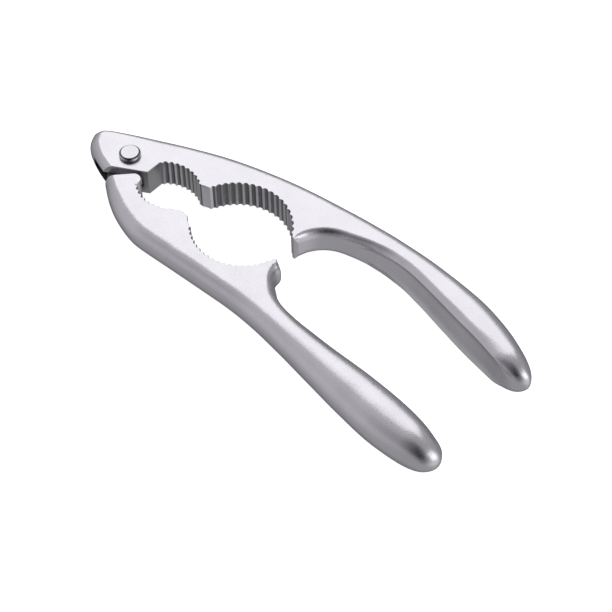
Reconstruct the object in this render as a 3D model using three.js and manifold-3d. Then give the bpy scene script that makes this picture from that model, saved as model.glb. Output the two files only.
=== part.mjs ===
// Double-jaw nutcracker: two cast levers joined by a rivet, lying flat with its jaws open.
// Millimetres, +Z up. The origin is on the pivot axis at the resting plane, and +X runs along the tool,
// halfway between the two handles. Plan coordinates (x, y) are measured from the pivot.
import * as THREE from 'three';
import { mergeVertices } from 'three/addons/utils/BufferGeometryUtils.js';
import Module from 'manifold-3d';

const wasm = await Module();
wasm.setup();

// ---- driving dimensions ----
const HANDLE_HALF = 7.7;      // half-thickness of a handle at its belly
const JAW_HALF = 5.9;         // half-thickness of the flat jaw plates
const MID_Z = HANDLE_HALF;    // height of the parting plane, halfway up both levers
const PARTING_HALF = 0.35;    // half-height of the flat trimmed band round a rounded edge
const EDGE = 0.25;            // chamfer on the crisp edges
const TOOTH_DEPTH = 0.75;     // serrations, ridge above root
const FLUTE_SHARE = 0.68;     // the fork handle's flute is this much of its wall's height
const ROUND_STEPS = 4;        // facets in each quarter of a rounded edge

const SLOT_HALF = 2.3;        // half-height of the fork's slot
const SLOT_R = 9.0;           // the slot's round end
const TONGUE_HALF = 2.0;      // half-thickness of the tongue in the slot
const TONGUE_R = 8.6;

const HEAD_R = 4;             // rivet heads, as high as the handles, so the tool lies level
const HEAD_BEVEL = 0.75;      // width of the bevel round a head's rim
const HEAD_BEVEL_DROP = 0.6;
const HEAD_SEAT = 0.05;       // gap under each head
const BARREL_R = 2.4;
const BARREL_BORE_R = 1.45;
const BARREL_FLOOR_Z = -3.5;  // closed end of the barrel's bore
const BARREL_END_Z = 5.2;     // open end of the barrel
const PIN_R = 1.3;
const PIN_LENGTH = 8;
const PIN_POINT = 0.4;        // chamfer on the pin's end
const BORE_R = BARREL_R + 0.3;
const ROUND_FACETS = 32;      // facets round the rivet, the bores and the tongue

// ---- plan outlines, all in order from the pivot end to the handle's tip ----
const FORK = {
  face: { x: 10.8, y: -1.8, degrees: 29.4 },    // the ears end on this line, facing the other lever
  slotEnd: { degrees: 162.5, x: -12.7, y: -11.7 },    // the slot's end wall runs from this angle to this point
  smallJaw: { centre: [21.05, -5.55], radius: 14.8, from: 132, to: 55, teeth: 8.5, lean: 0 },
  cusp: [[29.7, 6.7], [31.4, 7.4], [32.9, 7.7]],
  largeJaw: { centre: [52.2, 0.3], radius: 20.9, from: 156, to: 31.2, teeth: 17, lean: 0.1 },
  hook: [[70.2, 10.7], [71.3, 10.4]],
  wall: [[72.3, 11.5], [74.2, 15.6], [76.7, 18.9], [80.1, 21.4], [85, 23.2], [94, 25.2], [107.5, 25.5],
    [118, 23.9], [128.8, 21.5], [139.7, 19.1], [150.2, 17.2], [160, 15.6], [166.3, 15.3], [170.2, 18.7]],
  outer: [[2.3, -11.8], [-4.3, -10.2], [-11.2, -7.8], [-16.6, -4.9], [-19.1, -1.2], [-19.1, 1.3], [-17.4, 4],
    [-12.3, 7.3], [-1.8, 12.8], [12.4, 19.5], [27.5, 25.4], [43.3, 29.85], [59.9, 33.15], [81, 35.7],
    [98.3, 37], [117.3, 36.8], [137.2, 34.9], [151, 31.4], [161, 27.1], [168.1, 22.8], [170.2, 18.7]],
  tipLength: 11,    // the handle's end falls away over this length
};

const TONGUE = {
  shoulder: { corner: [9.2, -7.4], radius: 2.6, degrees: 47 },    // full-height step behind the tongue
  neck: { left: -132.8, right: -25, foot: [[0.9, -12.6], [4, -13], [9, -8]] },    // disc to shoulder
  smallJaw: { centre: [20.5, 2.4], radius: 14.2, from: -129, to: -48, teeth: 9, lean: 0 },
  cusp: [[31.9, -6.9], [33.6, -6.5], [35.9, -6.7], [37.5, -8.3]],
  largeJaw: { centre: [53.5, 4], radius: 19.6, from: -137, to: -19, teeth: 18, lean: 0 },
  hook: [[72.3, -0.8], [73.2, -0.4]],
  wall: [[74.3, -0.3], [76.2, -1.4], [76.6, -4], [77.9, -6.5], [80.8, -8.9], [84.3, -11.2], [89.3, -12.6],
    [97.3, -13.4], [111, -14], [128.9, -14.2], [142.8, -15.1], [152.9, -16.6], [160.4, -18.7],
    [166, -21.2], [168, -25.9]],
  outer: [[-8.7, -5.3], [-3.7, -10.3], [1.4, -14.3], [7.2, -18.2], [13.9, -21.5], [21.8, -24], [28.3, -24.8],
    [43, -24.3], [57.4, -23.8], [71.6, -23.5], [84.3, -24.3], [98.5, -26.3], [114.5, -29],
    [129.9, -31.5], [144, -33.1], [156.6, -32.6], [164.4, -30.5], [168, -25.9]],
  tipLength: 13,
};

// ---- small helpers ----
const { lerp, degToRad, smoothstep } = THREE.MathUtils;
const p2 = (x, y) => new THREE.Vector2(x, y);
const range = (count) => Array.from({ length: count }, (_, i) => i);

function polar([x, y], radius, degrees) {
  return p2(x + radius * Math.cos(degToRad(degrees)), y + radius * Math.sin(degToRad(degrees)));
}

// Value at x of a table of [x, value] stops, eased between them.
function at(x, stops) {
  const next = stops.findIndex(([stop]) => stop >= x);
  if (next === 0) return stops[0][1];
  if (next < 0) return stops[stops.length - 1][1];
  const [x0, v0] = stops[next - 1];
  const [x1, v1] = stops[next];
  return lerp(v0, v1, smoothstep(x, x0, x1));
}

// Points of a spline through hand-set points, from point number a to point number b of them.
function splineRun(points, a, b, count) {
  const curve = new THREE.SplineCurve(points.map(([x, y]) => p2(x, y)));
  return range(count).map((i) => curve.getPoint(lerp(a, b, i / (count - 1)) / (points.length - 1)));
}

// A toothed jaw: roots on a circle, a ridge halfway between each pair of roots, and a root at its end; the
// teeth widen along the arc where it leans. `smooth` is its mean line.
function toothedArc({ centre, radius, from, to, teeth, lean }) {
  const halves = 2 * teeth;
  const angles = range(halves + 1).map((i) => {
    const share = i / halves;
    return lerp(from, to, share - lean * share * (1 - share));
  });
  return {
    inner: angles.map((angle, i) => polar(centre, radius - ((halves - i) % 2) * TOOTH_DEPTH, angle)),
    smooth: angles.map((angle) => polar(centre, radius - TOOTH_DEPTH / 2, angle)),
  };
}

// ---- manifold-3d joins and cuts ----
function toSolid(geometry) {
  const bare = geometry.clone();
  bare.deleteAttribute('normal');
  bare.deleteAttribute('uv');
  const merged = mergeVertices(bare, 1e-4);
  return new wasm.Manifold(new wasm.Mesh({
    numProp: 3,
    vertProperties: new Float32Array(merged.attributes.position.array),
    triVerts: new Uint32Array(merged.index.array),
  }));
}

function toMesh(name, geometry, material) {
  const mesh = new THREE.Mesh(geometry, material);
  mesh.name = name;
  mesh.position.z = MID_Z;
  return mesh;
}

function toGeometry(solid) {
  const { vertProperties, triVerts } = solid.getMesh();
  const geometry = new THREE.BufferGeometry();
  geometry.setAttribute('position', new THREE.BufferAttribute(vertProperties, 3));
  geometry.setIndex(new THREE.BufferAttribute(triVerts, 1));
  geometry.computeVertexNormals();
  return geometry;
}

// A plan shape as a slab reaching `half` above and below the mid-plane.
function slab(shape, half) {
  const settings = { depth: 2 * half, bevelEnabled: false, curveSegments: 12 };
  return toSolid(new THREE.ExtrudeGeometry(shape, settings).translate(0, 0, -half));
}

function boss(radius, half) {
  return toSolid(new THREE.CylinderGeometry(radius, radius, 2 * half, ROUND_FACETS).rotateX(Math.PI / 2));
}

// ---- a cast lever: one closed shell between its inner and its outer outline ----
// Stations pair the two outlines up: { inner, smooth, outer, innerEdge, outerEdge }. The last is the tip,
// where the outlines meet. An edge climbs from `land` at its outline to `top` at its crest, as a quarter
// ellipse or, where crisp, from a wall with a crease; `below` does the same for the edge underneath. A flute
// sinks the wall between its upper and its lower edge, and draft leans it inwards towards its upper edge.
function edgeColumn(point, { crest, land, top, crisp = 0, below = crisp, flute = 0, draft = 0 }) {
  const inward = crest.clone().sub(point).normalize();
  const half = (side, crease) => {
    const foot = point.clone().addScaledVector(inward, draft * (1 + side) / 2);
    const sunk = point.clone().addScaledVector(inward, flute + draft * (1 + side * FLUTE_SHARE) / 2);
    const rows = range(ROUND_STEPS + 1).map((i) => {
      const s = i / ROUND_STEPS;
      const across = lerp(1 - Math.cos(s * Math.PI / 2), s, crease);
      const rise = lerp(Math.sin(s * Math.PI / 2), 1 - (1 - s) ** 2, crease);
      const p = foot.clone().lerp(crest, across);
      return [p.x, p.y, side * lerp(land, top, rise)];
    });
    return [[sunk.x, sunk.y, side * FLUTE_SHARE * land], ...rows];
  };
  return [...half(-1, below).reverse(), ...half(1, crisp)];
}

// Unit normals of an open chain of plan points, to its left for side 1 and to its right for side -1.
function normals(points, side) {
  return points.map((_, i) => {
    const before = points[Math.max(i - 1, 0)];
    const after = points[Math.min(i + 1, points.length - 1)];
    return p2(before.y - after.y, after.x - before.x).multiplyScalar(side).normalize();
  });
}

// Crests stand square to the outline at the jaws and straight across the handle; towards the tip they sink
// along a quarter ellipse, which rounds the tip off.
function addCrests(stations, side, tipLength) {
  const innerIn = normals(stations.map((s) => s.smooth), side);
  const outerIn = normals(stations.map((s) => s.outer), -side);
  const tip = stations.at(-1).outer;
  const middles = stations.map((s) => s.inner.clone().lerp(s.outer, 0.5));
  middles.at(-1).lerp(middles.at(-2), 0.5);
  stations.forEach(({ inner, outer, innerEdge, outerEdge }, i) => {
    const width = inner.distanceTo(outer);
    const run = Math.min(middles[i].distanceTo(tip) / tipLength, 1);
    const fall = Math.sqrt(1 - (1 - run) ** 2);
    [[inner, innerIn[i], innerEdge], [outer, outerIn[i], outerEdge]].forEach(([point, normal, edge]) => {
      const share = width > 0 ? Math.min(2 * edge.inset / width, 0.96) : 1;
      const square = point.clone().addScaledVector(normal, edge.inset);
      edge.crest = square.lerp(point.clone().lerp(middles[i], share), edge.pull);
      edge.top = lerp(PARTING_HALF, edge.top, fall);
      edge.land = lerp(PARTING_HALF, edge.land, fall);
    });
  });
}

function leverShell(stations, side, tipLength) {
  addCrests(stations, side, tipLength);
  const last = stations.length - 1;
  const columns = [
    ...stations.slice(0, last).map((s) => edgeColumn(s.inner, s.innerEdge)),
    ...stations.toReversed().map((s) => edgeColumn(s.outer, s.outerEdge)),
  ];
  const top = columns[0].length - 1;
  const end = columns.length - 1;
  const vertex = (column, row) => column * (top + 1) + row;
  const faces = [];
  const face = (...corners) => {
    const ids = corners.map(([column, row]) => vertex(column, row));
    if (side > 0) ids.reverse();
    faces.push(ids[0], ids[1], ids[2], ids[0], ids[2], ids[3]);
  };
  range(top).forEach((r) => {
    range(end).forEach((c) => face([c, r], [c, r + 1], [c + 1, r + 1], [c + 1, r]));
    face([0, r], [end, r], [end, r + 1], [0, r + 1]);
  });
  const loop = columns.map((column) => p2(column[top][0], column[top][1]));
  THREE.ShapeUtils.triangulateShape(loop, []).forEach((triangle) => {
    if (THREE.ShapeUtils.area(triangle.map((i) => loop[i])) < 0) triangle.reverse();
    const [a, b, c] = triangle;
    faces.push(vertex(a, top), vertex(b, top), vertex(c, top), vertex(c, 0), vertex(b, 0), vertex(a, 0));
  });
  const geometry = new THREE.BufferGeometry();
  geometry.setAttribute('position', new THREE.Float32BufferAttribute(columns.flat(2), 3));
  geometry.setIndex(faces);
  return toSolid(geometry);
}

// Both outlines run one point past the tip, into each other, so that they meet there without a corner.
function throughTip({ outer, wall }) {
  const wallOn = [...wall, outer.at(-2)];
  return [[...outer, wall.at(-2)], (a, b, count) => splineRun(wallOn, a, b, count)];
}

// Bays pair a run of inner points with a run of the outer spline, given by its point numbers.
function pairUp(bays, outerPoints, edges) {
  const stations = bays.flatMap(({ inner, smooth = inner, outer: [a, b], wall = false }) => {
    const outer = splineRun(outerPoints, a, b, inner.length);
    const number = (i) => lerp(a, b, i / (inner.length - 1));
    return inner.map((point, i) => ({ inner: point, smooth: smooth[i], outer: outer[i], u: number(i), wall }));
  });
  const distinct = stations.filter((s, i) => i === 0 || s.inner.distanceTo(stations[i - 1].inner) > 1e-6);
  return distinct.map((station) => ({ ...station, ...edges(station) }));
}

// ---- fork lever ----
function forkEdges({ inner, outer, u, wall }) {
  const width = inner.distanceTo(outer);
  const top = at(outer.x, [[70, JAW_HALF], [86, 6.1], [100, 6.5], [118, 7.1], [140, HANDLE_HALF]]);
  const pull = smoothstep(outer.x, 80, 125);
  const side = at(u, [[1.5, 2.9], [3.4, 4.3], [5, 3.9], [6.4, 3.2], [9, 5]]);
  const domed = at(outer.x, [[140, 0.62 * width], [162, 0.48 * width]]);
  const inset = at(inner.x, [[71.5, 1.6], [74, 2.5], [88, 2.8], [104, 4], [140, 4.2], [163, 0.48 * width]]);
  const land = at(inner.x, [[71.5, 3], [74, 2.3], [84, 2.3], [98, 4.1], [107, 4.9], [118, 5.4], [130, 5.8],
    [148, 6.3], [156, 6.2], [168.5, 1.6]]);
  const flute = at(inner.x, [[86, 0], [96, 0.6], [150, 0.6], [164, 0]]);
  const draft = at(inner.x, [[86, 0], [104, 1.2], [140, 1.2], [164, 0]]);
  const crisp = at(inner.x, [[84, 0], [98, 0.9], [150, 0.9], [165, 0]]);
  return {
    outerEdge: { inset: lerp(side, domed, pull), land: PARTING_HALF, top, pull },
    innerEdge: wall ? { inset, land, top, crisp, below: 0, flute, draft, pull } : crispEdge(),
  };
}

function crispEdge() {
  return { inset: EDGE, land: JAW_HALF - EDGE, top: JAW_HALF, crisp: 1, pull: 0 };
}

function forkBlank() {
  const { face, smallJaw, cusp, largeJaw, hook } = FORK;
  const [outer, wallRun] = throughTip(FORK);
  const start = range(30).map((i) => p2(face.x, lerp(-8, 4.6, i / 29)));
  return leverShell(pairUp([
    { inner: start, outer: [0, 8.4] },
    { ...toothedArc(smallJaw), outer: [8.45, 9.95] },
    { inner: cusp.map(([x, y]) => p2(x, y)), outer: [9.98, 10.2] },
    { ...toothedArc(largeJaw), outer: [10.22, 12.5] },
    { inner: hook.map(([x, y]) => p2(x, y)), outer: [12.53, 12.56] },
    { inner: wallRun(0, 3, 12), outer: [12.59, 13.2], wall: true },
    { inner: wallRun(3, 5, 7), outer: [13.2, 13.95], wall: true },
    { inner: wallRun(5, 8, 10), outer: [13.95, 15.7], wall: true },
    { inner: wallRun(8, 11, 10), outer: [15.7, 18.15], wall: true },
    { inner: wallRun(11, 13, 12), outer: [18.15, 20], wall: true },
  ], outer, forkEdges), 1, FORK.tipLength);
}

// The ears' end face: everything on the other lever's side of its line goes.
function forkFaceCut() {
  const { x, y, degrees } = FORK.face;
  const run = 30;
  const slope = Math.tan(degToRad(degrees));
  const shape = new THREE.Shape([p2(x + 2, y + 2 * slope), p2(x - run, y - run * slope), p2(x - run, y - 40),
    p2(x + 2, y - 40)]);
  return slab(shape, JAW_HALF + 1);
}

// The slot: round behind the tongue, then straight out through the nose's near side.
function slotShape() {
  const mouth = -20;
  const shape = new THREE.Shape();
  shape.moveTo(SLOT_R, mouth);
  shape.lineTo(SLOT_R, 0);
  shape.absarc(0, 0, SLOT_R, 0, degToRad(FORK.slotEnd.degrees), false);
  shape.lineTo(FORK.slotEnd.x, FORK.slotEnd.y);
  shape.lineTo(FORK.slotEnd.x, mouth);
  shape.closePath();
  return shape;
}

function forkLever() {
  const solid = forkBlank()
    .subtract(forkFaceCut())
    .subtract(slab(slotShape(), SLOT_HALF))
    .subtract(boss(BORE_R, JAW_HALF + 1));
  return toMesh('fork_lever', toGeometry(solid), satinCasting());
}

// ---- tongue lever ----
function tongueEdges({ inner, outer, wall }) {
  const width = inner.distanceTo(outer);
  const top = at(outer.x, [[72, JAW_HALF], [98, 6.3], [112, 6.8], [128, 7.4], [142, HANDLE_HALF]]);
  const pull = smoothstep(outer.x, 78, 115);
  const side = at(outer.x, [[0, 3.7], [14, 5]]);
  const inset = at(inner.x, [[73, EDGE], [76, 2.8], [84, 4.8], [97, 0.48 * width]]);
  const land = at(inner.x, [[73, 5.5], [75.9, 2.4], [79, PARTING_HALF]]);
  return {
    outerEdge: { inset: lerp(side, 0.48 * width, pull), land: PARTING_HALF, top, pull },
    innerEdge: wall ? { inset, land, top, pull } : crispEdge(),
  };
}

function tongueBlank() {
  const { smallJaw, cusp, largeJaw, hook, shoulder } = TONGUE;
  const [outer, wallRun] = throughTip(TONGUE);
  const startX = shoulder.corner[0] + shoulder.radius;
  const start = range(16).map((i) => p2(startX, lerp(4, -8, i / 15)));
  return leverShell(pairUp([
    { inner: start, outer: [0, 3] },
    { ...toothedArc(smallJaw), outer: [3.1, 6.1] },
    { inner: cusp.map(([x, y]) => p2(x, y)), outer: [6.15, 6.6] },
    { ...toothedArc(largeJaw), outer: [6.65, 9.47] },
    { inner: hook.map(([x, y]) => p2(x, y)), outer: [9.475, 9.48] },
    { inner: wallRun(0, 3, 11), outer: [9.485, 9.5], wall: true },
    { inner: wallRun(3, 6, 10), outer: [9.5, 10.4], wall: true },
    { inner: wallRun(6, 9, 12), outer: [10.4, 12.8], wall: true },
    { inner: wallRun(9, 11, 8), outer: [12.8, 14.65], wall: true },
    { inner: wallRun(11, 14, 16), outer: [14.65, 17], wall: true },
  ], outer, tongueEdges), -1, TONGUE.tipLength);
}

// The shoulder: everything on the pivot's side of a line that ends in a rounded corner.
function shoulderCut() {
  const { corner: [cx, cy], radius, degrees } = TONGUE.shoulder;
  const start = polar([cx, cy], radius, degrees + 90);
  const run = 16;
  const shape = new THREE.Shape();
  shape.moveTo(start.x - run, start.y - run * Math.tan(degToRad(degrees)));
  shape.lineTo(start.x, start.y);
  shape.absarc(cx, cy, radius, degToRad(degrees + 90), 0, true);
  shape.lineTo(cx + radius + 3, cy);
  shape.lineTo(cx + radius + 3, 10);
  shape.lineTo(start.x - run, 10);
  shape.closePath();
  return slab(shape, JAW_HALF + 1);
}

// The tongue: a disc on the pivot with a neck that widens into the shoulder.
function tongueDisc() {
  const { left, right, foot } = TONGUE.neck;
  const neck = new THREE.Shape([
    polar([0, 0], TONGUE_R, right), p2(0, 0), polar([0, 0], TONGUE_R, left), ...foot.map(([x, y]) => p2(x, y)),
  ]);
  return boss(TONGUE_R, TONGUE_HALF).add(slab(neck, TONGUE_HALF));
}

function tongueLever() {
  const solid = tongueBlank()
    .subtract(shoulderCut())
    .add(tongueDisc())
    .subtract(boss(BORE_R, TONGUE_HALF + 1));
  return toMesh('tongue_lever', toGeometry(solid), satinCasting());
}

// ---- rivet: a barrel with the back head, and a pin with the front head that fits inside it ----
// Profiles run from the axis outwards and back, with z measured from the mid-plane.
function turned(name, profile) {
  const points = profile.map(([r, z]) => p2(r, z));
  const geometry = new THREE.LatheGeometry(points, ROUND_FACETS).rotateX(Math.PI / 2);
  return toMesh(name, toGeometry(toSolid(geometry)), chromedSteel());
}

function rivetBarrel() {
  const under = -JAW_HALF - HEAD_SEAT;
  const back = -HANDLE_HALF;
  return turned('rivet_barrel', [
    [0, back], [HEAD_R - HEAD_BEVEL, back], [HEAD_R, back + HEAD_BEVEL_DROP], [HEAD_R, under],
    [BARREL_R, under], [BARREL_R, BARREL_END_Z], [BARREL_BORE_R, BARREL_END_Z],
    [BARREL_BORE_R, BARREL_FLOOR_Z], [0, BARREL_FLOOR_Z],
  ]);
}

function rivetPin() {
  const under = JAW_HALF + HEAD_SEAT;
  const front = HANDLE_HALF;
  const end = under - PIN_LENGTH;
  return turned('rivet_pin', [
    [0, end], [PIN_R - PIN_POINT, end], [PIN_R, end + PIN_POINT], [PIN_R, under], [HEAD_R, under],
    [HEAD_R, front - HEAD_BEVEL_DROP], [HEAD_R - HEAD_BEVEL, front], [0, front],
  ]);
}

// ---- materials ----
function satinCasting() {
  return new THREE.MeshStandardMaterial({ color: 0xc9c9cd, roughness: 0.42, metalness: 0.9 });
}

function chromedSteel() {
  return new THREE.MeshStandardMaterial({ color: 0xdfe1e4, roughness: 0.12, metalness: 1 });
}

const nutcracker = new THREE.Group();
nutcracker.add(forkLever(), tongueLever(), rivetBarrel(), rivetPin());

export default nutcracker;
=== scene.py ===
"""Double-jaw nutcracker: fine meshes, materials, floor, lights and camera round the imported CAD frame.

Plan outlines are in millimetres from the pivot, as in the CAD model; meshes are written in metres.
"""

import math

import bmesh
import bpy
import numpy as np
from mathutils import Matrix, Vector
from mathutils.geometry import delaunay_2d_cdt


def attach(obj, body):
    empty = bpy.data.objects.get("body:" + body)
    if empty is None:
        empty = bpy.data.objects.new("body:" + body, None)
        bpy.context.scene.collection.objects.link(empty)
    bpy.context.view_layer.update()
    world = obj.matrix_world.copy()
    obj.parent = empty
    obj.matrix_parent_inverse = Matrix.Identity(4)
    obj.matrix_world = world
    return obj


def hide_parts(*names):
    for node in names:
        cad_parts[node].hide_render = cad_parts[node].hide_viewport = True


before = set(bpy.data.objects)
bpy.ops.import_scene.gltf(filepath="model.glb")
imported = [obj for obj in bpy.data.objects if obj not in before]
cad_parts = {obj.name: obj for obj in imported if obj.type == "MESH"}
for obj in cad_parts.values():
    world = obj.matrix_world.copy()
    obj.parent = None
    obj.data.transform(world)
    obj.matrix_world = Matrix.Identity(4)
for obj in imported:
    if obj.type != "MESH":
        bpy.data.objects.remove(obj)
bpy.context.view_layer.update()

MM = 0.001

# ---- dimensions of the object, in millimetres ----
HANDLE_HALF = 7.7  # half-thickness of a handle at its belly
JAW_HALF = 5.9  # half-thickness of the flat jaw plates
MID_Z = HANDLE_HALF  # height of the parting plane, halfway up both levers
PARTING_HALF = 0.35  # half-height of the trimmed band round a rounded edge
EDGE = 0.25  # rounding of the crisp edges
TOOTH_DEPTH = 0.75

SLOT_HALF = 2.3
SLOT_R = 9.0
TONGUE_HALF = 2.0
TONGUE_R = 8.6
EAR_EDGE = 0.45  # rounding along the ears' end face
ROUND_SHARE = 0.48  # share of a round handle's width that each of its rounded edges takes
CREST_REACH = 0.96  # share of the way to the middle of a lever that a crest may reach
# a flute's rows: share of the land's height, and share of the full depth there
FLUTE_PROFILE = [(0.25, 0.9), (0.5, 1.0), (0.68, 0.9), (0.8, 0.65), (0.9, 0.35)]

HEAD_R = 4.0
HEAD_BEVEL = 0.75
HEAD_BEVEL_DROP = 0.6
HEAD_SEAT = 0.05  # gap under each head
BARREL_R = 2.4
BARREL_BORE_R = 1.45
BARREL_FLOOR_Z = -3.5
BARREL_END_Z = 5.2
RIM_SHARE = 0.65  # inner share of a head's bevel that carries a painted dark reflection
HEAD_FOOT = 0.3  # height of the painted shadow round a head's foot
PIN_R = 1.3
PIN_LENGTH = 8.0
PIN_POINT = 0.4  # bevel at the pin's hidden end
BORE_R = BARREL_R + 0.3
OVERCUT = 1.0  # how far a cutting solid reaches past what it cuts

# ---- a lever's surfaces, by their place in its list of materials ----
# each surface but the casting is painted light or shade: painted shade in the tooth roots, in the slot and
# bore and on the ears' end face, and a painted highlight on the tooth ridges
CASTING, PAINTED_ROOT_SHADE, PAINTED_SLOT_SHADE, PAINTED_RIDGE_HIGHLIGHT, PAINTED_EAR_SHADE = range(5)

# ---- fineness ----
ROUND_STEPS = 9  # rows in each quarter of a rounded edge
TOOTH_STEPS = 12  # points round each tooth
RIDGE_SHARE = 0.38  # height from which a tooth gets the painted ridge highlight
SPACING = 0.6  # between points along a plain run of outline
ROUND_FACETS = 96

# ---- the levers' outlines: the upper one's nose is a fork, and the lower one ends in a tongue ----
# A jaw is an arc with its teeth; "wall" is the handle's inner side, and "outer" the whole outer side.
FORK = {
    "face": {"x": 10.8, "y": -1.8, "degrees": 29.4},  # a point on the ears' end face, and its slope
    # where the slot's round end stops, as an angle, and the point to which its edge then runs
    "slot_end": {"degrees": 162.5, "x": -12.7, "y": -11.7},
    "small_jaw": {
        "centre": (21.05, -5.55), "radius": 14.8, "start": 132, "end": 55, "teeth": 8.5, "lean": 0.0,
    },
    "cusp": [(29.7, 6.7), (31.4, 7.4), (32.9, 7.7)],
    "large_jaw": {
        "centre": (52.2, 0.3), "radius": 20.9, "start": 156, "end": 31.2, "teeth": 17, "lean": 0.1,
    },
    "hook": [(70.2, 10.7), (71.3, 10.4)],
    "wall": [
        (72.3, 11.5), (74.2, 15.6), (76.7, 18.9), (80.1, 21.4), (85, 23.2), (94, 25.2), (107.5, 25.5),
        (118, 23.9), (128.8, 21.5), (139.7, 19.1), (150.2, 17.2), (160, 15.6), (166.3, 15.3),
        (170.19, 18.7),
    ],
    "outer": [
        (2.3, -11.8), (-4.3, -10.2), (-11.2, -7.8), (-16.6, -4.9), (-19.08, -1.2), (-19.08, 1.3),
        (-17.4, 4), (-12.3, 7.3), (-1.8, 12.8), (12.4, 19.5), (27.5, 25.4), (43.3, 29.85), (59.9, 33.15),
        (81, 35.7), (98.3, 36.99), (117.3, 36.79), (137.2, 34.9), (151, 31.4), (161, 27.1), (168.1, 22.8),
        (170.19, 18.7),
    ],
    "tip_length": 11.0,
}

TONGUE = {
    "shoulder": {"corner": (9.2, -7.4), "radius": 2.6, "degrees": 47},
    # the web from the disc to the plates: its two roots on the disc, as angles, and its far points
    "neck": {"left": -132.8, "right": -25, "foot": [(0.9, -12.6), (4, -13), (9, -8)]},
    "small_jaw": {
        "centre": (20.5, 2.4), "radius": 14.2, "start": -129, "end": -48, "teeth": 9, "lean": 0.0,
    },
    "cusp": [(31.9, -6.9), (33.6, -6.5), (35.9, -6.7), (37.5, -8.3)],
    "large_jaw": {
        "centre": (53.5, 4), "radius": 19.6, "start": -137, "end": -19, "teeth": 18, "lean": 0.0,
    },
    "hook": [(72.3, -0.8), (73.2, -0.4)],
    "wall": [
        (74.3, -0.3), (76.2, -1.4), (76.6, -4), (77.9, -6.5), (80.8, -8.9), (84.3, -11.2), (89.3, -12.6),
        (97.3, -13.4), (111, -14), (128.9, -14.2), (142.8, -15.1), (152.9, -16.6), (160.4, -18.7),
        (166, -21.2), (168, -25.9),
    ],
    "outer": [
        (-8.7, -5.3), (-3.7, -10.3), (1.4, -14.3), (7.2, -18.2), (13.9, -21.5), (21.8, -24),
        (28.3, -24.8), (43, -24.3), (57.4, -23.8), (71.6, -23.5), (84.3, -24.3), (98.5, -26.3), (114.5, -29),
        (129.9, -31.5), (144, -33.08), (156.6, -32.6), (164.4, -30.5), (168, -25.9),
    ],
    "tip_length": 13.0,
}


# ---- small helpers ----
def eased(x, stops):
    """Value at x of a table of (x, value) stops, eased between them."""
    if x <= stops[0][0]:
        return stops[0][1]
    for (x0, v0), (x1, v1) in zip(stops, stops[1:]):
        if x <= x1:
            t = (x - x0) / (x1 - x0)
            return v0 + (v1 - v0) * t * t * (3 - 2 * t)
    return stops[-1][1]


def smoothstep(x, low, high):
    return eased(x, [(low, 0.0), (high, 1.0)])


def lerp(a, b, t):
    return a + (b - a) * t


def polar(centre, radius, degrees):
    angle = math.radians(degrees)
    return np.array([centre[0] + radius * math.cos(angle), centre[1] + radius * math.sin(angle)])


def spline_point(points, u):
    """Point number u, which may be a fraction, on the Catmull-Rom spline through given points."""
    last = len(points) - 1
    i = min(int(u), last - 1)
    t = u - i
    around = (max(i - 1, 0), i, i + 1, min(i + 2, last))
    before, start, end, after = (np.array(points[k]) for k in around)
    leave, arrive = (end - before) / 2, (after - start) / 2
    return (
        (2 * start - 2 * end + leave + arrive) * t**3
        + (-3 * start + 3 * end - 2 * leave - arrive) * t**2
        + leave * t
        + start
    )


def spline_run(points, a, b, count):
    return [spline_point(points, lerp(a, b, i / (count - 1))) for i in range(count)]


def spline_count(points, a, b):
    rough = spline_run(points, a, b, 40)
    length = sum(float(np.linalg.norm(q - p)) for p, q in zip(rough, rough[1:]))
    return max(4, round(length / SPACING))


def toothed_arc(centre, radius, start, end, teeth, lean):
    """Round roots that meet in narrow ridges, ending in a root; teeth widen along the arc where it leans.
    Gives the toothed line, its plain mean line, and which points stand near a ridge."""
    inner, mean, near_ridge = [], [], []
    count = round(teeth * TOOTH_STEPS)
    for i in range(count + 1):
        share = i / count
        phase = (i - count) / TOOTH_STEPS
        angle = lerp(start, end, share - lean * share * (1 - share))
        ridge = 1 - math.cos(math.pi * (phase - round(phase)))
        inner.append(polar(centre, radius - TOOTH_DEPTH * ridge, angle))
        mean.append(polar(centre, radius - TOOTH_DEPTH / 2, angle))
        near_ridge.append(ridge > RIDGE_SHARE)
    return inner, mean, near_ridge


def straight_run(points, per_leg=3):
    run = [np.array(points[0])]
    for p, q in zip(points, points[1:]):
        run += [lerp(np.array(p), np.array(q), (k + 1) / per_leg) for k in range(per_leg)]
    return run


# ---- meshes ----
def new_object(name, vertices, faces, materials):
    mesh = bpy.data.meshes.new(name)
    mesh.from_pydata([tuple(v) for v in vertices], [], faces)
    mesh.validate()
    for material in materials:
        mesh.materials.append(material)
    obj = bpy.data.objects.new(name, mesh)
    bpy.context.scene.collection.objects.link(obj)
    return obj


def prism(name, outline, half, material_index, materials):
    """A plan outline in millimetres as a slab that reaches as far above the mid-plane as below it."""
    count = len(outline)
    area = sum(p[0] * q[1] - q[0] * p[1] for p, q in zip(outline, [*outline[1:], outline[0]]))
    ring = list(outline) if area > 0 else list(outline)[::-1]
    vertices = [(x * MM, y * MM, (MID_Z + z) * MM) for z in (-half, half) for x, y in ring]
    faces = [list(range(count))[::-1], list(range(count, 2 * count))]
    faces += [[i, (i + 1) % count, count + (i + 1) % count, count + i] for i in range(count)]
    obj = new_object(name, vertices, faces, materials)
    for polygon in obj.data.polygons:
        polygon.material_index = material_index
    return obj


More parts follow.
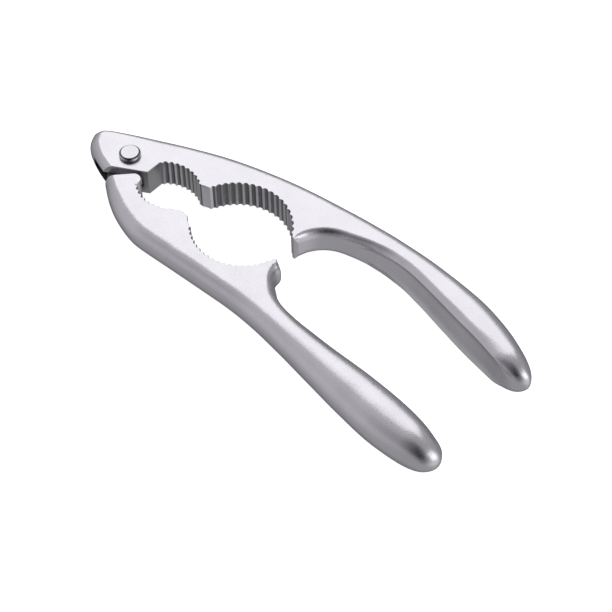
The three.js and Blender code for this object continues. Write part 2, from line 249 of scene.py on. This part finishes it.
def bar(name, section, start, end, materials):
    """A closed section of (across, z) points carried along a straight plan line, with across to its left."""
    start, end = np.array(start, float), np.array(end, float)
    along = (end - start) / np.linalg.norm(end - start)
    left = np.array([-along[1], along[0]])
    count = len(section)
    vertices = []
    for foot in (start, end):
        for across, z in section:
            x, y = foot + left * across
            vertices.append((x * MM, y * MM, (MID_Z + z) * MM))
    faces = [list(range(count)), list(range(count, 2 * count))[::-1]]
    faces += [[i, count + i, count + (i + 1) % count, (i + 1) % count] for i in range(count)]
    obj = new_object(name, vertices, faces, materials)
    fix_normals(obj)
    return obj


def fix_normals(obj):
    bm = bmesh.new()
    bm.from_mesh(obj.data)
    bmesh.ops.recalc_face_normals(bm, faces=bm.faces)
    bm.to_mesh(obj.data)
    bm.free()


def combine(obj, other, operation):
    """Joins or cuts obj with other, which is then removed."""
    modifier = obj.modifiers.new("combine", "BOOLEAN")
    modifier.operation = operation
    modifier.object = other
    modifier.solver = "MANIFOLD"
    bpy.context.view_layer.update()
    depsgraph = bpy.context.evaluated_depsgraph_get()
    result = bpy.data.meshes.new_from_object(obj.evaluated_get(depsgraph))
    obj.modifiers.remove(modifier)
    obj.data = result
    bpy.data.objects.remove(other)


def finish_surface(obj, degrees=32):
    """Smooth faces with sharp edges kept, and normals that follow the large faces."""
    bm = bmesh.new()
    bm.from_mesh(obj.data)
    bmesh.ops.remove_doubles(bm, verts=bm.verts, dist=1e-6)
    bmesh.ops.dissolve_degenerate(bm, edges=bm.edges, dist=1e-6)
    flat = math.radians(0.05)
    bmesh.ops.dissolve_limit(bm, angle_limit=flat, verts=bm.verts, edges=bm.edges, delimit={"MATERIAL"})
    bm.to_mesh(obj.data)
    bm.free()
    obj.data.shade_smooth()
    obj.data.set_sharp_from_angle(angle=math.radians(degrees))
    weighted = obj.modifiers.new("weighted_normals", "WEIGHTED_NORMAL")
    weighted.keep_sharp = True
    weighted.weight = 60


# ---- a cast lever: one closed shell between its inner and its outer outline ----
def edge_column(point, crest, land, top, crisp=0.0, below=0.0, flute=0.0, draft=0.0):
    """Points up one edge, from the crest underneath to the crest on top.
    A round edge is a quarter ellipse; a crisp one, 1 for crisp on top and for below underneath, leaves the
    wall with a crease. A flute sinks the wall a little between its upper and its lower edge, and with draft
    the wall leans inwards towards its upper edge."""
    inward = (crest - point) / np.linalg.norm(crest - point)

    def half(side, crease):
        rows = []
        for height, depth in FLUTE_PROFILE:
            x, y = point + inward * (flute * depth + draft * (1 + side * height) / 2)
            rows.append((x, y, side * land * height))
        foot = point + inward * draft * (1 + side) / 2
        for i in range(ROUND_STEPS + 1):
            s = i / ROUND_STEPS
            across = lerp(1 - math.cos(s * math.pi / 2), s, crease)
            rise = lerp(math.sin(s * math.pi / 2), 1 - (1 - s) ** 2, crease)
            x, y = lerp(foot, crest, across)
            rows.append((x, y, side * lerp(land, top, rise)))
        return rows

    return half(-1, below)[::-1] + half(1, crisp)


def normals(points, side):
    """Unit normals of an open chain of plan points, to its left for side 1 and to its right for -1."""
    result = []
    for i in range(len(points)):
        before, after = points[max(i - 1, 0)], points[min(i + 1, len(points) - 1)]
        normal = np.array([before[1] - after[1], after[0] - before[0]]) * side
        result.append(normal / np.linalg.norm(normal))
    return result


def add_crests(stations, side, tip_length):
    """Gives each outline point its crest: square to the outline at the jaws, straight across the handle.
    Towards the tip the crests sink along a quarter ellipse, which rounds the tip off."""
    inner_in = normals([s["mean"] for s in stations], side)
    outer_in = normals([s["outer"] for s in stations], -side)
    tip = stations[-1]["outer"]
    middles = [(s["inner"] + s["outer"]) / 2 for s in stations]
    middles[-1] = (middles[-2] + tip) / 2
    for station, middle, inner_normal, outer_normal in zip(stations, middles, inner_in, outer_in):
        inner, outer = station["inner"], station["outer"]
        width = np.linalg.norm(outer - inner)
        run = min(np.linalg.norm(middle - tip) / tip_length, 1.0)
        fall = math.sqrt(1 - (1 - run) ** 2)
        for point, normal, key in ((inner, inner_normal, "inner"), (outer, outer_normal, "outer")):
            edge = station[key + "_edge"]
            inset = edge.pop("inset")
            share = min(2 * inset / width, CREST_REACH) if width > 0 else 1.0
            edge["crest"] = lerp(point + normal * inset, lerp(point, middle, share), edge.pop("pull"))
            edge["top"] = lerp(PARTING_HALF, edge["top"], fall)
            edge["land"] = lerp(PARTING_HALF, edge["land"], fall)


def cap_faces(loop):
    """Triangles that fill a closed loop of plan points, as point numbers; the loop's own order is kept."""
    flat = [Vector((float(x), float(y))) for x, y in loop]
    count = len(flat)
    found = delaunay_2d_cdt(flat, [], [list(range(count))], 1, 1e-7)
    triangles, origins = found[2], found[3]
    names = [o[0] if o else None for o in origins]
    if any(name is None for name in names):
        raise ValueError("an outline's crest crosses itself")
    return [[names[i] for i in triangle] for triangle in triangles]


def lever_shell(name, stations, side, materials):
    """Stations pair the two outlines up; the last is the tip, where they meet."""
    last = len(stations) - 1
    columns = [edge_column(s["inner"], **s["inner_edge"]) for s in stations[:last]]
    columns.append(edge_column(stations[last]["outer"], **stations[last]["outer_edge"]))
    columns += [edge_column(s["outer"], **s["outer_edge"]) for s in stations[:last]][::-1]
    rows, end = len(columns[0]), len(columns) - 1
    top = rows - 1
    faces, tags = [], []

    def face(tag, *corners):
        ids = [column * rows + row for column, row in corners]
        faces.append(ids[::-1] if side > 0 else ids)
        tags.append(tag)

    for c in range(end):
        tag = stations[c]["tag"] if c < last else CASTING
        for r in range(top):
            face(tag, (c, r), (c, r + 1), (c + 1, r + 1), (c + 1, r))
    for r in range(top):
        face(CASTING, (0, r), (end, r), (end, r + 1), (0, r + 1))
    for triangle in cap_faces([column[top][:2] for column in columns]):
        turn = triangle_area([columns[i][top] for i in triangle]) > 0
        upper = triangle if turn else triangle[::-1]
        faces.append([i * rows + top for i in upper])
        faces.append([i * rows for i in upper[::-1]])
        tags += [CASTING, CASTING]
    vertices = [(x * MM, y * MM, (MID_Z + z) * MM) for column in columns for x, y, z in column]
    obj = new_object(name, vertices, faces, materials)
    for polygon, tag in zip(obj.data.polygons, tags):
        polygon.material_index = tag
    return obj


def triangle_area(points):
    (ax, ay, _), (bx, by, _), (cx, cy, _) = points
    return ((bx - ax) * (cy - ay) - (cx - ax) * (by - ay)) / 2


def pair_up(bays, outer_points, edges):
    """Bays pair a run of inner points with a run of the outer spline, given by its point numbers."""
    stations = []
    for bay in bays:
        inner = bay["inner"]
        mean = bay.get("mean", inner)
        a, b = bay["outer"]
        for i, point in enumerate(inner):
            if stations and np.linalg.norm(point - stations[-1]["inner"]) < 1e-6:
                continue
            u = lerp(a, b, i / (len(inner) - 1))
            outer = spline_point(outer_points, u)
            tag = bay.get("tag", CASTING)
            station = {"inner": point, "mean": mean[i], "outer": outer, "u": u}
            station["tag"] = tag[i] if isinstance(tag, list) else tag
            station.update(edges(station, bay.get("wall", False)))
            stations.append(station)
    return stations


def crisp_edge():
    return {
        "inset": EDGE,
        "land": JAW_HALF - EDGE,
        "top": JAW_HALF,
        "crisp": 1.0,
        "below": 1.0,
        "pull": 0.0,
    }


def rounded_edge(inset, top, pull):
    return {"inset": inset, "land": PARTING_HALF, "top": top, "pull": pull}


def jaw_bay(jaw, outer):
    inner, mean, near_ridge = toothed_arc(**jaw)
    # points near a ridge get the painted highlight, the rest the painted shade of the roots
    tags = [PAINTED_RIDGE_HIGHLIGHT if near else PAINTED_ROOT_SHADE for near in near_ridge]
    return {"inner": inner, "mean": mean, "outer": outer, "tag": tags}


def wall_bays(points, runs):
    """Each run names its first and last wall point, and the stretch of the outer spline it faces."""
    bays = []
    for a, b, outer in runs:
        count = spline_count(points, a, b)
        bays.append({"inner": spline_run(points, a, b, count), "outer": outer, "wall": True})
    return bays


def fork_edges(station, wall):
    """How a station's two edges are rounded; each table holds values at places along the lever."""
    inner, outer = station["inner"], station["outer"]
    width = float(np.linalg.norm(inner - outer))
    round_handle = ROUND_SHARE * width
    top = eased(outer[0], [(70, JAW_HALF), (86, 6.1), (100, 6.5), (118, 7.1), (140, HANDLE_HALF)])
    handle = smoothstep(outer[0], 80, 125)
    side = eased(station["u"], [(1.5, 2.9), (3.4, 4.3), (5, 3.9), (6.4, 3.2), (9, 5.0)])
    domed = eased(outer[0], [(140, 0.62 * width), (162, round_handle)])
    inner_insets = [(71.5, 1.6), (74, 2.5), (88, 2.8), (104, 4.0), (140, 4.2), (163, round_handle)]
    lands = [
        (71.5, 3.0), (74, 2.3), (84, 2.3), (98, 4.1), (107, 4.9), (118, 5.4), (130, 5.8), (148, 6.3),
        (156, 6.2), (168.5, 1.6),
    ]
    wall_edge = {
        "inset": eased(inner[0], inner_insets),
        "land": eased(inner[0], lands),
        "top": top,
        "flute": eased(inner[0], [(86, 0.0), (96, 0.6), (150, 0.6), (164, 0.0)]),
        "draft": eased(inner[0], [(86, 0.0), (104, 1.2), (140, 1.2), (164, 0.0)]),
        "crisp": eased(inner[0], [(84, 0.0), (98, 0.9), (150, 0.9), (165, 0.0)]),
        "pull": handle,
    }
    return {
        "outer_edge": rounded_edge(lerp(side, domed, handle), top, handle),
        "inner_edge": wall_edge if wall else crisp_edge(),
    }


def tongue_edges(station, wall):
    """As fork_edges, for a lever whose handle is round on both sides."""
    inner, outer = station["inner"], station["outer"]
    width = float(np.linalg.norm(inner - outer))
    round_handle = ROUND_SHARE * width
    top = eased(outer[0], [(72, JAW_HALF), (98, 6.3), (112, 6.8), (128, 7.4), (142, HANDLE_HALF)])
    handle = smoothstep(outer[0], 78, 115)
    side = eased(outer[0], [(0, 3.7), (14, 5.0)])
    wall_edge = {
        "inset": eased(inner[0], [(73.8, 1.4), (76, 3.0), (84, 4.8), (97, round_handle)]),
        "land": eased(inner[0], [(73.8, 1.6), (75.9, 0.8), (79, PARTING_HALF)]),
        "top": top,
        "pull": handle,
    }
    return {
        "outer_edge": rounded_edge(lerp(side, round_handle, handle), top, handle),
        "inner_edge": wall_edge if wall else crisp_edge(),
    }


def start_run(x, y0, y1, count):
    """A straight run beside the first jaw, part of which the cuts take away later."""
    return [np.array([x, lerp(y0, y1, i / (count - 1))]) for i in range(count)]


def through_tip(lever):
    """Both outlines run one point past the tip, into each other, so that they meet there smoothly."""
    return [*lever["outer"], lever["wall"][-2]], [*lever["wall"], lever["outer"][-2]]


def fork_blank(materials):
    outer, wall = through_tip(FORK)
    bays = [
        # this run becomes the ears' end face, which gets the painted shade material
        {"inner": start_run(FORK["face"]["x"], -8, 4.6, 80), "outer": (0, 8.4), "tag": PAINTED_EAR_SHADE},
        jaw_bay(FORK["small_jaw"], (8.45, 9.95)),
        {"inner": straight_run(FORK["cusp"]), "outer": (9.98, 10.2)},
        jaw_bay(FORK["large_jaw"], (10.22, 12.5)),
        {"inner": straight_run(FORK["hook"]), "outer": (12.53, 12.56)},
    ]
    bays += wall_bays(wall, [(0, 3, (12.59, 13.2)), (3, 5, (13.2, 13.95)), (5, 8, (13.95, 15.7)),
                             (8, 11, (15.7, 18.15)), (11, 13, (18.15, 20))])
    stations = pair_up(bays, outer, fork_edges)
    add_crests(stations, 1, FORK["tip_length"])
    return lever_shell("fork_casting", stations, 1, materials)


def round_edge_section(radius, steps=6):
    """Section (across, z) of what a rounded top edge leaves off, for a solid to the left of the line."""
    above = JAW_HALF + OVERCUT
    arc = []
    for i in range(steps + 1):
        angle = math.pi / 2 * i / steps
        arc.append((radius - radius * math.cos(angle), JAW_HALF - radius + radius * math.sin(angle)))
    return [(-OVERCUT, JAW_HALF - radius), *arc, (radius, above), (-OVERCUT, above)]


def cut_fork_face(obj, materials):
    """The ears end on a line that faces the other lever, with a rounded edge above and below."""
    face = FORK["face"]
    slope = math.tan(math.radians(face["degrees"]))
    past_nose, past_face = 30, 2
    right = (face["x"] + past_face, face["y"] + past_face * slope)
    left = (face["x"] - past_nose, face["y"] - past_nose * slope)
    below = face["y"] - 40
    cut_outline = [right, left, (left[0], below), (right[0], below)]
    # the ears' end face gets the painted shade material, darkened for the gap between the levers
    combine(obj, prism("cut", cut_outline, JAW_HALF + OVERCUT, PAINTED_EAR_SHADE, materials), "DIFFERENCE")
    section = round_edge_section(EAR_EDGE)
    for mirror in (1, -1):
        profile = [(across, z * mirror) for across, z in section]
        combine(obj, bar("cut", profile, left, right, materials), "DIFFERENCE")


def slot_outline():
    mouth = -20
    steps = 48
    end = FORK["slot_end"]
    arc = [polar((0, 0), SLOT_R, end["degrees"] * i / steps) for i in range(steps + 1)]
    return [(SLOT_R, mouth), *arc, (end["x"], end["y"]), (end["x"], mouth)]


def circle(radius):
    return [polar((0, 0), radius, 360 * i / ROUND_FACETS) for i in range(ROUND_FACETS)]


def shoulder_outline():
    """What is cut off the tongue lever's plates: all that lies above its shoulder, in plan."""
    shoulder = TONGUE["shoulder"]
    corner, radius, degrees = shoulder["corner"], shoulder["radius"], shoulder["degrees"]
    steps = 16
    arc = [polar(corner, radius, lerp(degrees + 90, 0, i / steps)) for i in range(steps + 1)]
    run, upper = 16, 10
    left = arc[0][0] - run
    right = corner[0] + radius + 3
    return [
        (left, arc[0][1] - run * math.tan(math.radians(degrees))),
        *arc,
        (right, corner[1]),
        (right, upper),
        (left, upper),
    ]


def fork_casting(materials):
    obj = fork_blank(materials)
    cut_fork_face(obj, materials)
    # the slot's and bore's cut faces get dark material: painted shade inside the slot and bore
    combine(obj, prism("cut", slot_outline(), SLOT_HALF, PAINTED_SLOT_SHADE, materials), "DIFFERENCE")
    combine(obj, prism("cut", circle(BORE_R), JAW_HALF + OVERCUT, PAINTED_SLOT_SHADE, materials), "DIFFERENCE")
    finish_surface(obj)
    return obj


def tongue_blank(materials):
    outer, wall = through_tip(TONGUE)
    shoulder = TONGUE["shoulder"]
    start_x = shoulder["corner"][0] + shoulder["radius"]
    bays = [
        {"inner": start_run(start_x, 4, -8, 50), "outer": (0, 3)},
        jaw_bay(TONGUE["small_jaw"], (3.1, 6.1)),
        {"inner": straight_run(TONGUE["cusp"]), "outer": (6.15, 6.6)},
        jaw_bay(TONGUE["large_jaw"], (6.65, 9.47)),
        {"inner": straight_run(TONGUE["hook"]), "outer": (9.475, 9.48)},
    ]
    bays += wall_bays(wall, [(0, 3, (9.485, 9.5)), (3, 6, (9.5, 10.4)), (6, 9, (10.4, 12.8)),
                             (9, 11, (12.8, 14.65)), (11, 14, (14.65, 17))])
    stations = pair_up(bays, outer, tongue_edges)
    add_crests(stations, -1, TONGUE["tip_length"])
    return lever_shell("tongue_casting", stations, -1, materials)


def tongue_casting(materials):
    obj = tongue_blank(materials)
    combine(obj, prism("cut", shoulder_outline(), JAW_HALF + OVERCUT, CASTING, materials), "DIFFERENCE")
    neck = TONGUE["neck"]
    right, left = (polar((0, 0), TONGUE_R, neck[key]) for key in ("right", "left"))
    neck_outline = [right, (0, 0), left, *neck["foot"]]
    combine(obj, prism("disc", circle(TONGUE_R), TONGUE_HALF, CASTING, materials), "UNION")
    combine(obj, prism("neck", neck_outline, TONGUE_HALF, CASTING, materials), "UNION")
    # the bore's faces get the painted shade of the slot material
    combine(obj, prism("cut", circle(BORE_R), TONGUE_HALF + OVERCUT, PAINTED_SLOT_SHADE, materials), "DIFFERENCE")
    finish_surface(obj)
    return obj


# ---- rivet ----
def softened(profile):
    """A profile with each inner corner point replaced by a small arc of points."""
    radius, steps = 0.12, 3
    points = [np.array(p, float) for p in profile]
    result = [points[0]]
    for before, corner, after in zip(points, points[1:], points[2:]):
        into, out = before - corner, after - corner
        reach = min(radius, 0.4 * np.linalg.norm(into), 0.4 * np.linalg.norm(out))
        start = corner + into / np.linalg.norm(into) * reach
        end = corner + out / np.linalg.norm(out) * reach
        for i in range(steps + 1):
            t = i / steps
            result.append((1 - t) ** 2 * start + 2 * t * (1 - t) * corner + t * t * end)
    return [*result, points[-1]]


def is_painted_dark(radius, height):
    """Whether a head is painted dark here: a painted dark reflection on the inner part of its bevel, and a
    painted shadow round its foot.
    The height is taken from the mid-plane, upwards or downwards."""
    off_face, off_side = 0.01, 0.05
    on_bevel = HEAD_R - HEAD_BEVEL < radius < HEAD_R - HEAD_BEVEL * (1 - RIM_SHARE)
    below_face = HANDLE_HALF - HEAD_BEVEL_DROP * RIM_SHARE < height < HANDLE_HALF - off_face
    at_foot = radius > HEAD_R - off_side and height < JAW_HALF + HEAD_SEAT + HEAD_FOOT
    return (on_bevel and below_face) or at_foot


def turned(name, profile, materials):
    """A closed turned part: (radius, z) points from the axis outwards and back, z from the mid-plane."""
    points = softened(profile)
    rings = points[1:-1]
    last = len(rings) - 1
    vertices = [(0, 0, (MID_Z + points[0][1]) * MM), (0, 0, (MID_Z + points[-1][1]) * MM)]
    for radius, z in rings:
        for x, y in circle(radius):
            vertices.append((x * MM, y * MM, (MID_Z + z) * MM))

    def on_ring(i, k):
        return 2 + i * ROUND_FACETS + k % ROUND_FACETS

    faces = []
    for k in range(ROUND_FACETS):
        faces.append([0, on_ring(0, k + 1), on_ring(0, k)])
        faces.append([1, on_ring(last, k), on_ring(last, k + 1)])
        for i in range(last):
            faces.append([on_ring(i, k), on_ring(i, k + 1), on_ring(i + 1, k + 1), on_ring(i + 1, k)])
    obj = new_object(name, vertices, faces, materials)
    fix_normals(obj)
    for polygon in obj.data.polygons:
        x, y, z = polygon.center / MM
        # faces in the painted dark reflection on the bevel and in the painted shadow at the foot get the
        # dark material
        polygon.material_index = int(is_painted_dark(math.hypot(x, y), abs(z - MID_Z)))
    finish_surface(obj, 40)
    return obj


def bevel_middle(side):
    """Where the painted dark reflection on a head's bevel ends; side is 1 for the front head and -1 for the
    back one.
    """
    return (HEAD_R - HEAD_BEVEL * (1 - RIM_SHARE), side * (HANDLE_HALF - HEAD_BEVEL_DROP * RIM_SHARE))


def rivet_barrel(materials):
    under, back = -JAW_HALF - HEAD_SEAT, -HANDLE_HALF
    return turned("rivet_back_head", [
        (0, back), (HEAD_R - HEAD_BEVEL, back), bevel_middle(-1), (HEAD_R, back + HEAD_BEVEL_DROP),
        (HEAD_R, under - HEAD_FOOT), (HEAD_R, under), (BARREL_R, under), (BARREL_R, BARREL_END_Z),
        (BARREL_BORE_R, BARREL_END_Z), (BARREL_BORE_R, BARREL_FLOOR_Z), (0, BARREL_FLOOR_Z),
    ], materials)


def rivet_pin(materials):
    under, front = JAW_HALF + HEAD_SEAT, HANDLE_HALF
    end = under - PIN_LENGTH
    return turned("rivet_front_head", [
        (0, end), (PIN_R - PIN_POINT, end), (PIN_R, end + PIN_POINT), (PIN_R, under), (HEAD_R, under),
        (HEAD_R, under + HEAD_FOOT), (HEAD_R, front - HEAD_BEVEL_DROP), bevel_middle(1),
        (HEAD_R - HEAD_BEVEL, front), (0, front),
    ], materials)


# ---- materials ----
SOFT_EDGE = 0.22 * MM  # radius to which edges are rounded in the shading
SPECK_DEPTH = 0.04 * MM
FINE_DEPTH = 0.02 * MM
MARK_DEPTH = 0.01 * MM


def material_nodes(name):
    material = bpy.data.materials.new(name)
    material.use_nodes = True
    tree = material.node_tree
    tree.nodes.clear()
    output = tree.nodes.new("ShaderNodeOutputMaterial")
    shader = tree.nodes.new("ShaderNodeBsdfPrincipled")
    tree.links.new(shader.outputs["BSDF"], output.inputs["Surface"])
    return material, tree, shader


def node(tree, kind, inputs=(), **settings):
    """A new node; each input, by name or number, is linked to the socket given or set to the value given."""
    made = tree.nodes.new(kind)
    for key, value in settings.items():
        setattr(made, key, value)
    for key, value in dict(inputs).items():
        if isinstance(value, bpy.types.NodeSocket):
            tree.links.new(value, made.inputs[key])
        else:
            made.inputs[key].default_value = value
    return made


def object_space(tree):
    return node(tree, "ShaderNodeTexCoord").outputs["Object"]


def noise(tree, scale, detail, roughness):
    """Noise over the object's own space, scale being its number of features to a metre."""
    inputs = {"Vector": object_space(tree), "Scale": scale, "Detail": detail, "Roughness": roughness}
    return node(tree, "ShaderNodeTexNoise", inputs).outputs["Fac"]


def spread(tree, value, low, high):
    """The middle of a noise's range, where nearly all of it lies, spread from low to high."""
    inputs = {"Value": value, "From Min": 0.3, "From Max": 0.7, "To Min": low, "To Max": high}
    return node(tree, "ShaderNodeMapRange", inputs).outputs["Result"]


def bump(tree, height, strength, depth, normal=None):
    inputs = {"Strength": strength, "Distance": depth, "Height": height}
    if normal:
        inputs["Normal"] = normal
    return node(tree, "ShaderNodeBump", inputs).outputs["Normal"]


def casting_material(name, light, dark, rough, grain):
    """Bead-blasted, satin-plated casting: fine grain in its relief and gloss, and a slight mottling."""
    material, tree, shader = material_nodes(name)
    cloud = noise(tree, 90, 3, 0.55)
    speck = noise(tree, 2600, 2, 0.6)
    fine = noise(tree, 6500, 2, 0.6)
    blend = {"Factor": spread(tree, cloud, 0.0, 1.0), "A": light, "B": dark}
    mottled = node(tree, "ShaderNodeMix", blend, data_type="RGBA").outputs["Result"]
    tree.links.new(mottled, shader.inputs["Base Color"])
    shader.inputs["Metallic"].default_value = 1.0
    tree.links.new(spread(tree, speck, rough - 0.05, rough + 0.05), shader.inputs["Roughness"])
    soft_edge = node(tree, "ShaderNodeBevel", {"Radius": SOFT_EDGE}, samples=4).outputs["Normal"]
    coarse_relief = bump(tree, speck, grain, SPECK_DEPTH, soft_edge)
    fine_relief = bump(tree, fine, grain, FINE_DEPTH, coarse_relief)
    tree.links.new(fine_relief, shader.inputs["Normal"])
    return material


def rivet_material(name, colour):
    """Chrome with faint smears and turning marks."""
    material, tree, shader = material_nodes(name)
    shader.inputs["Base Color"].default_value = colour
    shader.inputs["Metallic"].default_value = 1.0
    smear = noise(tree, 900, 3, 0.6)
    tree.links.new(spread(tree, smear, 0.1, 0.2), shader.inputs["Roughness"])
    marks = {"Vector": object_space(tree), "Scale": 900, "Distortion": 1.5, "Detail": 2}
    wave = node(tree, "ShaderNodeTexWave", marks, wave_type="RINGS", rings_direction="Z")
    relief = bump(tree, wave.outputs["Fac"], 0.15, MARK_DEPTH)
    tree.links.new(relief, shader.inputs["Normal"])
    return material


# ---- floor, camera and light, in metres ----
FLOOR_HALF = 3.0
FLOOR_DROP = 0.00005  # how far the floor lies under the part, so that the two do not share a plane
FLOOR_GLOW = 0.85
WORLD_LEVEL = 0.48
WORLD_LOBES = [  # axis, degrees to its inner and outer edge, change of level
    ((0.16, -0.66, 0.73), 15, 45, -0.43),  # high in front, beside the photographer
    ((0.7, -0.7, 0.14), 8, 34, -0.27),  # below the photographer
    ((0.98, 0.09, -0.17), 20, 52, 0.42),  # low at the right
    ((0.25, 0.93, -0.26), 10, 40, -0.14),  # low behind
    ((-0.58, 0.62, -0.53), 15, 52, -0.12),  # low behind, at the left
    ((-0.42, 0.25, -0.87), 5, 54, -0.24),  # beneath
    ((-0.75, -0.43, 0.5), 20, 66, 0.25),  # high at the left
    ((-1.0, -0.08, 0.0), 8, 36, -0.14),  # level at the left
]
LIGHT_AIM = (0.08, 0.0, 0.0)
# the photographer's place, picture axes and lens in millimetres, which give the photo's perspective
CAMERA_AT = (0.37718, -0.30691, 0.53885)
CAMERA_RIGHT = (0.73899751, 0.67354021, -0.01504195)
CAMERA_UP = (-0.52403387, 0.58870681, 0.61547769)
CAMERA_LENS = 114.706


def floor_material():
    material, tree, shader = material_nodes("floor_white")
    shader.inputs["Base Color"].default_value = (0.86, 0.86, 0.865, 1)
    cloud = noise(tree, 12, 3, 0.5)
    tree.links.new(spread(tree, cloud, 0.75, 0.85), shader.inputs["Roughness"])
    shader.inputs["Emission Color"].default_value = (1, 1, 1, 1)
    shader.inputs["Emission Strength"].default_value = FLOOR_GLOW
    return material


def make_floor():
    signs = [(-1, -1), (1, -1), (1, 1), (-1, 1)]
    corners = [(x * FLOOR_HALF, y * FLOOR_HALF, -FLOOR_DROP) for x, y in signs]
    obj = new_object("floor", corners, [[0, 1, 2, 3]], [floor_material()])
    obj.visible_glossy = False


def make_camera():
    camera = bpy.data.objects.new("camera", bpy.data.cameras.new("camera"))
    right, up = Vector(CAMERA_RIGHT), Vector(CAMERA_UP)
    back = right.cross(up)
    turn = Matrix((right, up, back)).transposed().to_4x4()
    camera.matrix_world = Matrix.Translation(Vector(CAMERA_AT)) @ turn
    camera.data.lens = CAMERA_LENS
    camera.data.sensor_width = 36
    camera.data.clip_start, camera.data.clip_end = 0.01, 20
    bpy.context.scene.collection.objects.link(camera)
    bpy.context.scene.camera = camera


def area_light(name, position, size, strength):
    """A soft box of size metres, whose face shows `strength` times plain white."""
    light = bpy.data.lights.new(name, "AREA")
    light.shape = "RECTANGLE"
    light.size, light.size_y = size
    light.energy = strength * math.pi * size[0] * size[1]
    obj = bpy.data.objects.new(name, light)
    bpy.context.scene.collection.objects.link(obj)
    obj.location = position
    obj.rotation_mode = "QUATERNION"
    obj.rotation_quaternion = (Vector(LIGHT_AIM) - Vector(position)).to_track_quat("-Z", "Y")


def direction_lobe(tree, direction, axis, inner, outer):
    """1 within `inner` degrees of an axis, falling smoothly to 0 at `outer` degrees."""
    vectors = {0: direction, 1: Vector(axis).normalized()}
    along = node(tree, "ShaderNodeVectorMath", vectors, operation="DOT_PRODUCT")
    fall = {
        "Value": along.outputs["Value"],
        "From Min": math.cos(math.radians(outer)),
        "From Max": math.cos(math.radians(inner)),
    }
    lobe = node(tree, "ShaderNodeMapRange", fall, interpolation_type="SMOOTHSTEP")
    return lobe.outputs["Result"]


def math_node(tree, operation, *values):
    made = node(tree, "ShaderNodeMath", dict(enumerate(values)), operation=operation)
    return made.outputs["Value"]


def studio_world():
    """A grey room with softly paler and darker parts, for the metal to reflect."""
    world = bpy.data.worlds.new("studio")
    world.use_nodes = True
    tree = world.node_tree
    direction = tree.nodes.new("ShaderNodeTexCoord").outputs["Generated"]
    level = WORLD_LEVEL
    for axis, inner, outer, change in WORLD_LOBES:
        lobe = direction_lobe(tree, direction, axis, inner, outer)
        level = math_node(tree, "MULTIPLY_ADD", lobe, change, level)
    background = tree.nodes["Background"]
    background.inputs["Color"].default_value = (0.98, 0.965, 1.0, 1)
    tree.links.new(math_node(tree, "MAXIMUM", level, 0.0), background.inputs["Strength"])
    bpy.context.scene.world = world


def make_light():
    area_light("overhead_box", (-0.39, 0.62, 0.72), (0.96, 1.0), 1.07)
    area_light("right_box", (1.08, 0.17, 0.44), (0.75, 0.75), 1.2)
    studio_world()
    bpy.context.scene.view_settings.view_transform = "Standard"
    bpy.context.scene.view_settings.look = "None"


# ---- the object ----
def place(obj, body, slot, *nodes):
    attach(obj, body)
    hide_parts(*nodes)


casting = casting_material("satin_casting", (0.602, 0.594, 0.622, 1), (0.567, 0.56, 0.587, 1), 0.28, 0.6)
# the tooth roots' material is dark as painted shade in the grooves between the teeth
painted_root_shade = casting_material("painted_root_shade", (0.19, 0.19, 0.195, 1), (0.12, 0.12, 0.125, 1), 0.32, 0.5)
# the ridges' material is lighter than the roots' as a painted highlight along each ridge
painted_ridge_highlight = casting_material("painted_ridge_highlight", (0.47, 0.465, 0.48, 1), (0.37, 0.365, 0.38, 1), 0.3, 0.4)
# the slot's and bore's faces are dark as painted shade inside the slot and bore
painted_slot_shade = casting_material("painted_slot_shade", (0.16, 0.16, 0.165, 1), (0.10, 0.10, 0.105, 1), 0.5, 0.5)
# the ears' end face is darker as painted shade in the gap between the two levers
painted_ear_shade = casting_material("painted_ear_shade", (0.36, 0.36, 0.365, 1), (0.30, 0.30, 0.305, 1), 0.34, 0.5)
surfaces = (casting, painted_root_shade, painted_slot_shade, painted_ridge_highlight, painted_ear_shade)
bright = rivet_material("rivet_chrome", (0.52, 0.52, 0.535, 1))
# the dark chrome is painted: a dark reflection on each head's bevel and a shadow round its foot
painted_dark_chrome = rivet_material("rivet_painted_dark", (0.09, 0.09, 0.095, 1))
chrome = (bright, painted_dark_chrome)

place(fork_casting(surfaces), "fork", "satin_casting_fork", "fork_lever")
place(tongue_casting(surfaces), "tongue", "satin_casting_tongue", "tongue_lever")
place(rivet_barrel(chrome), "fork", "rivet_steel", "rivet_barrel")
place(rivet_pin(chrome), "fork", "rivet_steel", "rivet_pin")

make_floor()
make_camera()
make_light()
